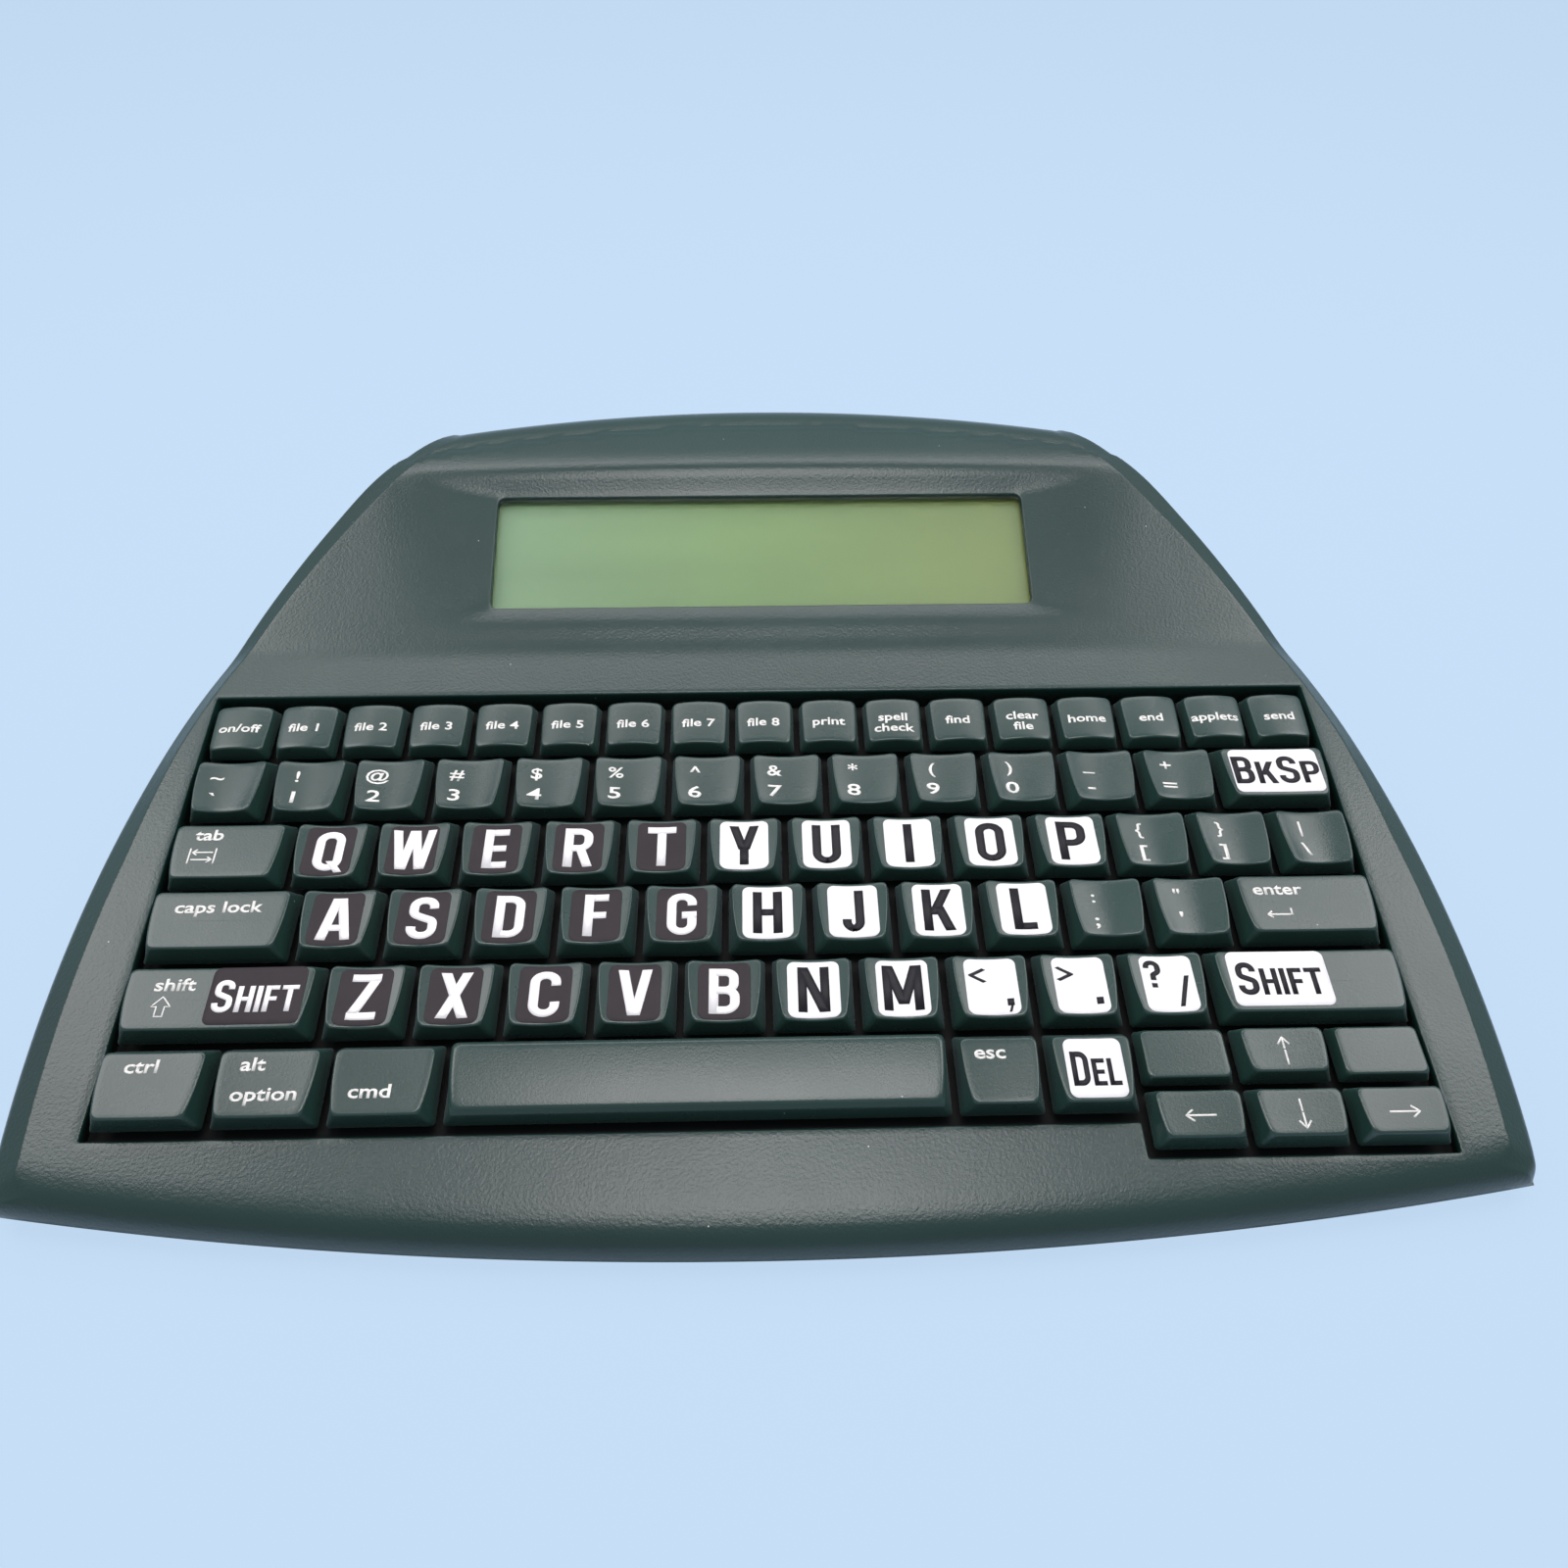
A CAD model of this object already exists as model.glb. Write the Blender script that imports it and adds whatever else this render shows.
# %% [markdown]
# # A battery word processor with a wedge-shaped housing
# A one-piece keyboard computer: a dark green ABS housing, a full keyboard and a small
# liquid-crystal display. This file dresses the exact solids with what the eye reads:
# rolled edges, dished keycaps, stickers and glass.

# %% Load the solids
import bpy
import bmesh
import numpy as np
from math import acos, asin, atan2, ceil, cos, dist, hypot, pi, radians, sin, sqrt, tan, tau
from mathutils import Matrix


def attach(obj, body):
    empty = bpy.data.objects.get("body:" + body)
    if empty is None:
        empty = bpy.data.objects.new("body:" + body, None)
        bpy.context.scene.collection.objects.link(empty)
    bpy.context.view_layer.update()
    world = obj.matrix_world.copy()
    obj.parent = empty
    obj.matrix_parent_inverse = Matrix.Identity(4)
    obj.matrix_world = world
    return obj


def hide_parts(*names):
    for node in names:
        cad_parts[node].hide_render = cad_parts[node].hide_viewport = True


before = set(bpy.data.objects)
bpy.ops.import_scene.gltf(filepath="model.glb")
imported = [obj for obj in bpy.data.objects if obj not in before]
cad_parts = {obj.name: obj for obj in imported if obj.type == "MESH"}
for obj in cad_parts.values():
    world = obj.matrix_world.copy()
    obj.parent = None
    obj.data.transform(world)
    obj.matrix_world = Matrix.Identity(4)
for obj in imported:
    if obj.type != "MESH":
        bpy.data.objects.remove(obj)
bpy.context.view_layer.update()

from types import SimpleNamespace
from mathutils import Vector, Matrix
from mathutils.geometry import delaunay_2d_cdt

# %% [markdown]
# ## The keyboard plane
# All that the user sees lies on one plane, tilted towards them. Sizes are millimetres
# on it: y = 0 is the front edge of the number row, z = 0 the lower edge of the keycaps.
# One function takes such a point to the scene.

# %% From the keyboard plane to the scene
TILT = radians(4.5)
DECK_HEIGHT = 18.7
PARTING = -7.0
CASE_FRONT, CASE_BACK = -102.0, 141.5
DECK_Y = -(CASE_FRONT + CASE_BACK) / 2 * cos(TILT) + PARTING * sin(TILT)
TURN = Matrix.Rotation(TILT, 3, "X")


def on_deck(x, y, z):
    p = TURN @ Vector((x, y, z)) + Vector((0, DECK_Y, DECK_HEIGHT))
    return p / 1000


print("display plane point:", on_deck(0, 81.6, 11))

# %% [markdown]
# ## The camera
# The photograph was taken from the user's side with a short lens, about 0.3 m away.
# The place and the three directions below put every key edge on its pixel.

# %% Camera
scene = bpy.context.scene


def in_scene(name, data):
    obj = bpy.data.objects.new(name, data)
    scene.collection.objects.link(obj)
    return obj


camera = in_scene("camera", bpy.data.cameras.new("camera"))
right = TURN @ Vector((0.9997, -0.0231, 0.0083))
down = TURN @ Vector((-0.0133, -0.7947, -0.6069))
ahead = TURN @ Vector((0.0206, 0.6066, -0.7947))
camera.matrix_world = Matrix.Translation(on_deck(-1.71, -176.07, 243.21)) @ Matrix(
    (right, -down, -ahead)).transposed().to_4x4()
camera.data.sensor_width = 36
camera.data.lens = 36 * 1277.08 / 1600
camera.data.clip_start = 0.01
scene.camera = camera
print("lens", round(camera.data.lens, 2), "mm")

# %% [markdown]
# ## Finishes
# Each finish starts from the real material. Colours are the hex values that a picture
# shows, and one function turns them to linear light. One helper adds a node with its
# settings and links, so each finish reads as a short recipe.

# %% Colour and node helpers
def linear(code):
    parts = [int(code[i:i + 2], 16) / 255 for i in (1, 3, 5)]
    return [v / 12.92 if v <= 0.04045 else ((v + 0.055) / 1.055) ** 2.4 for v in parts] + [1.0]


def feed(made, **settings):
    """A node's settings; in_ stands before an input's name or number. A node, for its
    first output, or a socket is linked."""
    for key, value in settings.items():
        name = key[3:].replace("_", " ")
        if not key.startswith("in_"):
            setattr(made, key, value)
            continue
        entry = made.inputs[int(name) if name.isdigit() else name]
        if isinstance(value, (bpy.types.Node, bpy.types.NodeSocket)):
            made.id_data.links.new(getattr(value, "outputs", [value])[0], entry)
        else:
            entry.default_value = value
    return made


def node(owner, kind, **settings):
    """Adds a node to a material, a world or a tree; a shader node without its prefix."""
    kind = kind if "Node" in kind else "ShaderNode" + kind
    return feed(getattr(owner, "node_tree", owner).nodes.new(kind), **settings)


paint = {}


def finish_named(name, **settings):
    mat = paint[name] = bpy.data.materials.new(name)
    mat.use_nodes = True
    return mat, feed(mat.node_tree.nodes["Principled BSDF"], **settings)


def ramp_stops(ramp, *stops):
    while len(ramp.color_ramp.elements) < len(stops):
        ramp.color_ramp.elements.new(0.5)
    for element, (place, code) in zip(ramp.color_ramp.elements, stops):
        element.position, element.color = place, linear(code)
    return ramp


MM = 1000  # pattern scales are written per millimetre of object space
print("white is", [round(v, 3) for v in linear("#FFFFFF")])

# %% [markdown]
# ## Moulded ABS
# The housing is ABS dyed dark green right through, moulded in a tool that was
# spark-eroded to a fine grain. The eye sees a deep green body colour under a broad grey
# sheen, broken by the grain and a few pale specks of dust. The housing's grain is drawn
# at 0.7 mm, coarser than the real one, so that it shows.

# %% Housing and keycap plastic
def moulded_abs(name, body, dark, grain_mm, grain_depth, roughness, dust, sheen):
    mat, shader = finish_named(name, in_Roughness=roughness, in_IOR=1.56,
                               in_Sheen_Weight=sheen, in_Sheen_Tint=linear("#9FB0B4"))
    place = node(mat, "TexCoord").outputs["Object"]
    tone = node(mat, "TexNoise", in_Vector=place, in_Scale=MM / 60, in_Detail=3.0)
    colour = ramp_stops(node(mat, "ValToRGB", in_Fac=tone),
                        (0.3, dark), (0.7, body))
    specks = node(mat, "TexVoronoi", in_Vector=place, in_Scale=MM / 9)
    dot = node(mat, "MapRange", in_Value=specks,
               in_From_Min=0.022, in_From_Max=0.014, in_To_Max=dust)
    mixed = node(mat, "Mix", data_type="RGBA", in_0=dot,
                 in_6=colour, in_7=linear("#B9BDB8"))
    grain = node(mat, "TexNoise", in_Vector=place, in_Scale=MM / grain_mm,
                 in_Roughness=0.6)
    bump = node(mat, "Bump", in_Height=grain, in_Strength=0.7,
                in_Distance=grain_depth / MM)
    wear = node(mat, "TexNoise", in_Vector=place, in_Scale=MM / 18, in_Detail=4.0)
    polish = node(mat, "MapRange", in_Value=wear, in_From_Min=0.2,
                  in_From_Max=0.8, in_To_Min=roughness - 0.02, in_To_Max=roughness + 0.03)
    feed(shader, in_Base_Color=mixed.outputs[2], in_Roughness=polish, in_Normal=bump)


moulded_abs("housing_abs", "#14322C", "#112C27", 0.7, 0.12, 0.30, 0.8, 0.0)
moulded_abs("keycap_abs", "#18362F", "#143029", 0.5, 0.04, 0.27, 0.6, 0.2)
print("plastics:", *paint)

# %% [markdown]
# ## Small finishes
# The others are plain trade finishes: printed ink, vinyl, tin plate, rubber, solder
# resist. Each gets its typical index and roughness, and a little variation, because a
# single flat colour never looks real.

# %% Ink, vinyl, metal, rubber and boards
def plain_finish(name, colour, second, scale_mm, roughness, metal=0.0, bump_mm=0.0, ior=1.5):
    mat, shader = finish_named(name, in_Roughness=roughness, in_Metallic=metal)
    if not metal:
        feed(shader, in_IOR=ior)
    place = node(mat, "TexCoord").outputs["Object"]
    noise = node(mat, "TexNoise", in_Vector=place, in_Scale=MM / scale_mm, in_Detail=4.0)
    feed(shader, in_Base_Color=ramp_stops(node(mat, "ValToRGB", in_Fac=noise),
                                          (0.35, colour), (0.65, second)))
    if bump_mm:
        bump = node(mat, "Bump", in_Height=noise, in_Strength=0.4,
                    in_Distance=bump_mm / MM)
        feed(shader, in_Normal=bump)


for name, row in {
    # Two colours, pattern in mm, roughness, metallic, bump in mm, index of refraction
    "legend_ink": ("#E8E8E4", "#D4D6D2", 1.5, 0.6),
    "vinyl_white": ("#E4E5E8", "#DCDDE0", 6, 0.5),
    "vinyl_brown_black": ("#241E22", "#2A2327", 6, 0.6),
    "vinyl_ink_white": ("#F7F7F8", "#F0F0F2", 4, 0.45),
    "vinyl_ink_black": ("#17161A", "#1C1B1F", 4, 0.6),
    "frame_plastic": ("#060808", "#0B0D0C", 5, 0.75, 0, 0.02),
    "tin_plate": ("#B9B9B4", "#C6C5BF", 3, 0.3, 1),
    "zinc_plate": ("#A4A9AD", "#B4B8BA", 8, 0.38, 1),
    "screw_steel": ("#5A5B5D", "#6C6D6F", 2, 0.35, 1),
    "milky_silicone": ("#C9CBC4", "#D4D5CE", 6, 0.55),
    "polyester_film": ("#B9B79B", "#C6C4A8", 10, 0.3),
    "flat_cable": ("#C8C8C2", "#D2D2CC", 4, 0.35),
    "solder_resist": ("#12502A", "#176034", 3, 0.35, 0, 0.03),
    "foot_rubber": ("#141414", "#1D1D1C", 1.0, 0.8, 0, 0.06),
    "cell_sleeve": ("#8B6B2C", "#9C7A35", 12, 0.28),
    "infrared_plastic": ("#2A0508", "#34070B", 5, 0.12, 0, 0, 1.58),
}.items():
    plain_finish(name, *row)
for name in ("vinyl_brown_black", "vinyl_ink_black", "frame_plastic"):
    feed(paint[name].node_tree.nodes["Principled BSDF"], in_Specular_IOR_Level=0.3)
print("finishes:", len(paint))

# %% [markdown]
# ## The display
# A reflective liquid-crystal panel is grey-green and turns yellower towards one side,
# because the angle to the light changes. Clear acrylic covers it.

# %% Display glass and clear window
mat, shader = finish_named("lcd_glass", in_Roughness=0.25, in_IOR=1.52)
place = node(mat, "TexCoord").outputs["Object"]
axes = node(mat, "SeparateXYZ", in_Vector=place)
across = node(mat, "MapRange", in_Value=axes, in_From_Min=-0.0725,
              in_From_Max=0.0725)
tint = ramp_stops(node(mat, "ValToRGB", in_Fac=across),
                  (0.0, "#99AE84"), (0.45, "#98AB6D"), (1.0, "#9A9F5D"))
stretched = node(mat, "Mapping", in_Vector=place, in_Scale=(0.35, 2.2, 1))
streaks = node(mat, "TexNoise", in_Vector=stretched,
               in_Scale=MM / 40)
faint = node(mat, "MapRange", in_Value=streaks, in_From_Min=0.3,
             in_From_Max=0.7, in_To_Min=0.92, in_To_Max=1.08)
shade = node(mat, "VectorMath", operation="SCALE", in_0=tint,
             in_Scale=faint)
feed(shader, in_Base_Color=shade)
finish_named("clear_acrylic", in_Roughness=0.05, in_IOR=1.49,
             in_Base_Color=linear("#F4FAF4"), in_Transmission_Weight=1.0)
print("display finishes ready")

# %% Finishes on the carried-over solids
for finish, names in {
    "housing_abs": "bottom_case battery_door", "clear_acrylic": "display_window",
    "tin_plate": "display_bezel space_bar_wire computer_socket printer_socket backup_cell "
                 "battery_contacts", "lcd_glass": "display_glass",
    "solder_resist": "display_board main_board", "flat_cable": "display_cable",
    "frame_plastic": "key_frame", "milky_silicone": "rubber_domes",
    "polyester_film": "key_membrane", "zinc_plate": "key_backplate",
    "infrared_plastic": "infrared_window", "cell_sleeve": "battery_cells",
    "screw_steel": "case_screws inner_screws",
}.items():
    for name in names.split():
        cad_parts[name].data.materials.clear()
        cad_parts[name].data.materials.append(paint[finish])
print("dressed:", finish, names)

# %% [markdown]
# ## Outline of the housing
# Seen along the keyboard plane's normal, the housing is a long front arc, two side arcs
# that tighten towards the back, and a back arc, joined by rounded corners. One function
# gives that outline at any distance inside it, always with the same number of points, so
# that rings of points can be sewn into one skin.

# %% Outline rings
FRONT_R, BACK_R, SIDE_R, REAR_R = 1020.0, 395.0, 330.0, 240.0
SIDE_C, REAR_STARTS = (157.2 - SIDE_R, -50.0), 30
start = asin((REAR_STARTS - SIDE_C[1]) / SIDE_R)
REAR_C = (SIDE_C[0] + SIDE_R * cos(start) - REAR_R * cos(start + radians(2)),
          SIDE_C[1] + SIDE_R * sin(start) - REAR_R * sin(start + radians(2)))
FRONT_C, BACK_C = (0.0, CASE_FRONT + FRONT_R), (0.0, CASE_BACK - BACK_R)


def smooth_min(a, b, k):
    h = max(k - abs(a - b), 0.0) / k
    return min(a, b) - h * h * k / 4


def half_width(y, inset):
    fore = SIDE_C[0] + sqrt(max((SIDE_R - inset) ** 2 - (y - SIDE_C[1]) ** 2, 0))
    aft = REAR_C[0] + sqrt(max((REAR_R - inset) ** 2 - (y - REAR_C[1]) ** 2, 0))
    return smooth_min(fore, aft, 0.5) if y > 0 else fore


def front_edge(x, inset):
    return FRONT_C[1] - sqrt((FRONT_R - inset) ** 2 - x * x)


def back_edge(x, inset):
    return BACK_C[1] + sqrt((BACK_R - inset) ** 2 - x * x)


def corner_centre(side_inset, end_inset, edge):
    y = edge(130.0, end_inset)
    for _ in range(40):
        y = edge(half_width(y, side_inset), end_inset)
    return half_width(y, side_inset), y


N_FRONT, N_CORNER, N_SIDE, N_BACK = 44, 8, 96, 34
CORNER_Y = (-88.0, 122.0)


def toward(a, b, r):
    d = hypot(b[0] - a[0], b[1] - a[1])
    return (b[0] - a[0]) / d * r, (b[1] - a[1]) / d * r


def arc_between(centre, start, end, r, n):
    a0, a1 = atan2(start[1], start[0]), atan2(end[1], end[0])
    a1 += tau * round((a0 - a1) / tau)
    return [(centre[0] + r * cos(a0 + (a1 - a0) * i / n),
             centre[1] + r * sin(a0 + (a1 - a0) * i / n)) for i in range(n + 1)]


def half_ring(side_inset, front_inset, back_inset, front_r, back_r):
    """The right half from front to back; each point has its part: 0 front, 1 front
    corner, 2 side, 3 back corner, 4 back."""
    fi, bi = (side_inset(y) for y in CORNER_Y)
    fc = corner_centre(fi + front_r, front_inset + front_r, front_edge)
    bc = corner_centre(bi + back_r, back_inset + back_r, back_edge)
    front_t = toward(FRONT_C, fc, front_r)
    side_t = toward(SIDE_C, fc, front_r)
    rear_t = toward(REAR_C, bc, back_r)
    back_t = toward(BACK_C, bc, back_r)
    out = [(x, front_edge(x, front_inset), 0, 0.0) for x in
           [(fc[0] + front_t[0]) * i / N_FRONT for i in range(N_FRONT)]]
    corner = arc_between(fc, front_t, side_t, front_r, N_CORNER)
    out += [(*p, 1, i / N_CORNER) for i, p in enumerate(corner)]
    y0, y1 = fc[1] + side_t[1], bc[1] + rear_t[1]
    for i in range(1, N_SIDE):
        y = y0 + (y1 - y0) * i / N_SIDE
        out.append((half_width(y, side_inset(y)), y, 2, 0.0))
    corner = arc_between(bc, rear_t, back_t, back_r, N_CORNER)
    out += [(*p, 3, i / N_CORNER) for i, p in enumerate(corner)]
    x1 = bc[0] + back_t[0]
    out += [(x1 * (1 - i / N_BACK), back_edge(x1 * (1 - i / N_BACK), back_inset), 4, 0.0)
            for i in range(1, N_BACK + 1)]
    return out


print("half width at the display:", round(half_width(76, 0), 2))

# %% [markdown]
# ## Height of the upper moulding
# The deck is almost flat, bends into the display slope and rolls over at the ridge. A
# shallow dish surrounds the window, with a steep brow above it. Each part is a plane, and
# soft minima and maxima blend them like a moulded radius.

# %% Deck height
WIN_Y, WIN_Z, WIN_SLOPE = 81.6, 11.0, radians(14.5)
WIN_W, WIN_H = 145.0, 35.0


def display_plane(x, y, z):
    c, s = cos(WIN_SLOPE), sin(WIN_SLOPE)
    return x, WIN_Y + y * c - z * s, WIN_Z + y * s + z * c


def smooth_max(a, b, k):
    return -smooth_min(-a, -b, k)


RIDGE_Y, RIDGE_Z, ROOF_FALL, CROWN = 105.3, 19.4, 0.085, 1.5
BACK_ROLL = 14.0


def plain_deck(x, y):
    """Flat deck, display slope and roof; the ridge is crowned from side to side."""
    ridge = RIDGE_Z + CROWN * max(1 - (x / 112) ** 2, 0)
    flat = 0.3 + 3.6 * (y + 88) / 136
    slope = 4 + (ridge - 4) / (RIDGE_Y - 52) * (y - 52)
    roof = ridge - ROOF_FALL * (y - RIDGE_Y)
    return smooth_min(smooth_max(flat, slope, 1.0), roof, 2.8)


def lip_deck(x, y):
    """The deck with its rolled front lip, a quarter of an ellipse, and its rolled back."""
    inset = FRONT_R - hypot(x, y - FRONT_C[1])
    behind = BACK_R - hypot(x, y - BACK_C[1])
    if behind < BACK_ROLL + 3:
        rise = max(1 - min(max(behind, 0) / BACK_ROLL, 1), 0)
        return smooth_min(plain_deck(x, y), 5 + 13.4 * sqrt(1 - rise * rise), 0.8)
    if inset > 14:
        return plain_deck(x, y)
    lip = -5.8 + 7.9 * sqrt(max(1 - min(1 - inset / 14, 1) ** 2, 0))
    return smooth_min(plain_deck(x, y), lip, 1.5)


def deck_z(x, y):
    base = lip_deck(x, y)
    along = (y - WIN_Y) / cos(WIN_SLOPE)
    floor = WIN_Z + tan(WIN_SLOPE) * (y - WIN_Y)
    side = (abs(x) - 73.5) * 0.095
    near = (-18.5 - along) * 0.31
    brow = (along - 18.6) * 0.55
    rise = smooth_max(smooth_max(side, near, 0.5), brow, 0.9)
    return smooth_min(base, floor + smooth_max(rise, 0.0, 0.3), 1.2)


print("deck heights:", [round(deck_z(0, y), 2) for y in (-60, 52, 81, 103)])

# %% [markdown]
# ## Sewing the upper moulding
# Rings follow the outline from the parting line up the wall, over the roll, along a
# narrow facet at the sides, and onto the deck. Inside the last ring a Delaunay net takes
# the height above, with the key well and the window cut out. A second, inner net and
# ring set make it a real shell with its wall thickness.

# %% Ring profiles
RINGS, DRAFT = 26, radians(6)
# The roll's radius and the slopes it runs between, from the wall's to the facet's
ROLL, STEEP, SLANT = 2.5, 84, 22
# The facet along y: its width, and how far the deck's edge lies over the wall's top
FACET_AT = (-90, -10, 20, 45, 75, 100, 130)
FACET_WIDE = (4.8, 4.8, 3.4, 3.3, 4.6, 5.6, 4.5)
DROP = (4.2, 4.2, 4.2, 4.2, 4.4, 4.2, 2.6)
FLARE = 1.5


def wall_in(z):
    return max(z - PARTING, 0.0) * tan(DRAFT)


def roll(degrees):
    """(inset, rise) along the roll, from the wall's slope to another."""
    a, b = radians(STEEP), radians(degrees)
    return ROLL * (sin(a) - sin(b)), ROLL * (cos(b) - cos(a))


def edge_shape(y):
    """How far the wall ends below the deck, the facet's width, and the corner's flare."""
    return (float(np.interp(y, FACET_AT, DROP)), float(np.interp(y, FACET_AT, FACET_WIDE)),
            FLARE * min(max((y - 92) / 40, 0), 1) ** 1.3)


def side_profile(t, y):
    """(inset, height) on the side at ring place t from 0 at the parting line to 1."""
    top = lip_deck(half_width(y, 8), y)
    drop, facet, flare = edge_shape(y)
    wall_top = top - drop
    if t <= 0.3:
        z = PARTING + (wall_top - PARTING) * t / 0.3
        return wall_in(z) - flare * t / 0.3, z
    edge = wall_in(wall_top) - flare
    if t <= 0.6:
        inset, rise = roll(STEEP - (STEEP - SLANT) * (t - 0.3) / 0.3)
        return edge + inset, wall_top + rise
    inset, rise = roll(SLANT)
    edge, drop = edge + inset, drop - rise
    if t <= 0.84:
        s = (t - 0.6) / 0.24
        return edge + facet * s, top - drop * (1 - s) - 0.1 * s
    s = (t - 0.84) / 0.16
    return edge + facet + 0.5 * s, top - 0.1 * (1 - s) ** 2


def front_profile(t, x):
    if t <= 0.08:
        return 0.0, PARTING + 1.2 * t / 0.08
    inset = 5.0 * ((t - 0.08) / 0.92) ** 2
    return inset, lip_deck(x, front_edge(x, inset))


def back_profile(t, x):
    if t <= 0.3:
        return 0.03 * t / 0.3, PARTING + 12 * t / 0.3
    a = (t - 0.3) / 0.7 * pi / 2
    inset = 0.03 + 15 * (1 - cos(a))
    return inset, lip_deck(x, back_edge(x, inset))


def skin_ring(t, thick):
    """One closed ring of (x, y, z): thick is 0 on the outside, the wall inside."""
    front_in, _ = front_profile(t, 0)
    back_in, _ = back_profile(t, 0)
    squeeze = thick * (1 - t)
    half = half_ring(lambda y: side_profile(t, y)[0] + squeeze, front_in + squeeze,
                     back_in + squeeze, 2.2 + 3 * t, 7)
    right = []
    for x, y, part, s in half:
        zs, zf, zb = side_profile(t, y)[1], front_profile(t, x)[1], back_profile(t, x)[1]
        s = s * s * (3 - 2 * s)
        z = {0: zf, 1: zf + (zs - zf) * s, 2: zs, 3: zs + (zb - zs) * s, 4: zb}[part]
        right.append((x, y, z - thick * min(t * 1.6, 1)))
    left = [(-x, y, z) for x, y, z in reversed(right[1:-1])]
    return right + left


ring_len = len(skin_ring(0.5, 0))
print("points in a ring:", ring_len)

# %% Openings of the skin
OPEN_X, OPEN_BACK, OPEN_FRONT = 138.28, 36.55, -78.2
STEP_X, STEP_FRONT = 75.31, -85.64


def corner_arc(a, p, b, r, n):
    """The arc that rounds the corner p between the points a and b."""
    va = Vector((a[0] - p[0], a[1] - p[1])).normalized()
    vb = Vector((b[0] - p[0], b[1] - p[1])).normalized()
    half = acos(max(-1, min(1, va.dot(vb)))) / 2
    cut, mid = r / tan(half), (va + vb).normalized()
    centre = Vector(p) + mid * (r / sin(half))
    return arc_between(centre, Vector(p) + va * cut - centre, Vector(p) + vb * cut - centre,
                       r, n)


def rounded(points, r, n):
    """A closed outline whose corners are rounded; points run anticlockwise."""
    return [q for i, p in enumerate(points)
            for q in corner_arc(points[i - 1], p, points[(i + 1) % len(points)], r, n)]


def divided(outline, model, step):
    """Adds points along an outline, as many on each side as the model outline needs."""
    out = []
    for i, p in enumerate(outline):
        j = (i + 1) % len(outline)
        q = outline[j]
        n = max(1, round(dist(model[i], model[j]) / step))
        out += [(p[0] + (q[0] - p[0]) * k / n, p[1] + (q[1] - p[1]) * k / n) for k in range(n)]
    return out


def well_corners(g):
    return rounded([(-OPEN_X - g, OPEN_FRONT - g), (STEP_X - g, OPEN_FRONT - g),
                    (STEP_X - g, STEP_FRONT - g), (OPEN_X + g, STEP_FRONT - g),
                    (OPEN_X + g, OPEN_BACK + g), (-OPEN_X - g, OPEN_BACK + g)], 0.5, 3)


def window_corners(g):
    w, h = WIN_W / 2 + g, WIN_H / 2 + g
    return rounded([(-w, -h), (w, -h), (w, h), (-w, h)], 2 + g, 5)


def well_outline(grow):
    return divided(well_corners(grow), well_corners(0), 3.0)


def window_outline(grow):
    return divided(window_corners(grow), window_corners(0), 2.5)


print("well points", len(well_outline(0)), "window points", len(window_outline(0)))

# %% A Delaunay net with holes
def within(points, loop):
    """For each point, whether it lies inside a closed outline."""
    a = np.array([(p[0], p[1]) for p in loop])
    b = np.roll(a, -1, axis=0) + 1e-9
    out = np.zeros(len(points), bool)
    for k in range(0, len(points), 4000):
        x, y = points[k:k + 4000, 0:1], points[k:k + 4000, 1:2]
        cross = (a[:, 1] > y) != (b[:, 1] > y)
        at = a[:, 0] + (y - a[:, 1]) / (b[:, 1] - a[:, 1]) * (b[:, 0] - a[:, 0])
        out[k:k + 4000] = (cross & (x < at)).sum(1) % 2 == 1
    return out


def net(loops, step):
    """Delaunay net of a plane region: the first loop is its outline, the others holes."""
    def in_region(points):
        out = within(points, loops[0])
        for hole in loops[1:]:
            out &= ~within(points, hole)
        return out
    edges, rim = [], []
    for loop in loops:
        base = len(rim)
        rim += [(p[0], p[1]) for p in loop]
        edges += [(base + i, base + (i + 1) % len(loop)) for i in range(len(loop))]
    rim = np.array(rim)
    grid = np.array([(ix * step, iy * step) for iy in range(int(-110 / step), int(150 / step))
                     for ix in range(int(-160 / step), int(160 / step) + 1)])
    grid = grid[in_region(grid)]
    near = np.concatenate([((grid[k:k + 2000, None] - rim) ** 2).sum(2).min(1)
                           for k in range(0, len(grid), 2000)])
    grid = grid[near > (step * 0.45) ** 2]
    points = [Vector(p) for p in np.concatenate([rim, grid])]
    spots, made_edges, triangles, old, old_edges, _ = delaunay_2d_cdt(points, edges, [], 0, 1e-6)
    # Triangles that share an edge off the rim form a region, which is kept or left whole
    rims = {frozenset(made_edges[k]) for k, source in enumerate(old_edges) if source}
    sides = {}
    for k, t in enumerate(triangles):
        for pair in zip(t, t[1:] + t[:1]):
            sides.setdefault(frozenset(pair), []).append(k)
    region = np.full(len(triangles), -1)
    for first in range(len(region)):
        found = [first] if region[first] < 0 else []
        while found:
            k = found.pop()
            if region[k] < 0:
                region[k] = first
                t = triangles[k]
                for pair in map(frozenset, zip(t, t[1:] + t[:1])):
                    if pair not in rims:
                        found += sides[pair]
    mids = np.array([sum((spots[i] for i in t), Vector((0, 0))) / 3 for t in triangles])
    votes = np.bincount(region, np.where(in_region(mids), 1.0, -1.0), len(region))
    kept = [[old[i][0] for i in t] for t, k in zip(triangles, votes[region] > 0) if k]
    print("net:", len(points), "points,", len(kept), "triangles")
    return grid, kept


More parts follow.
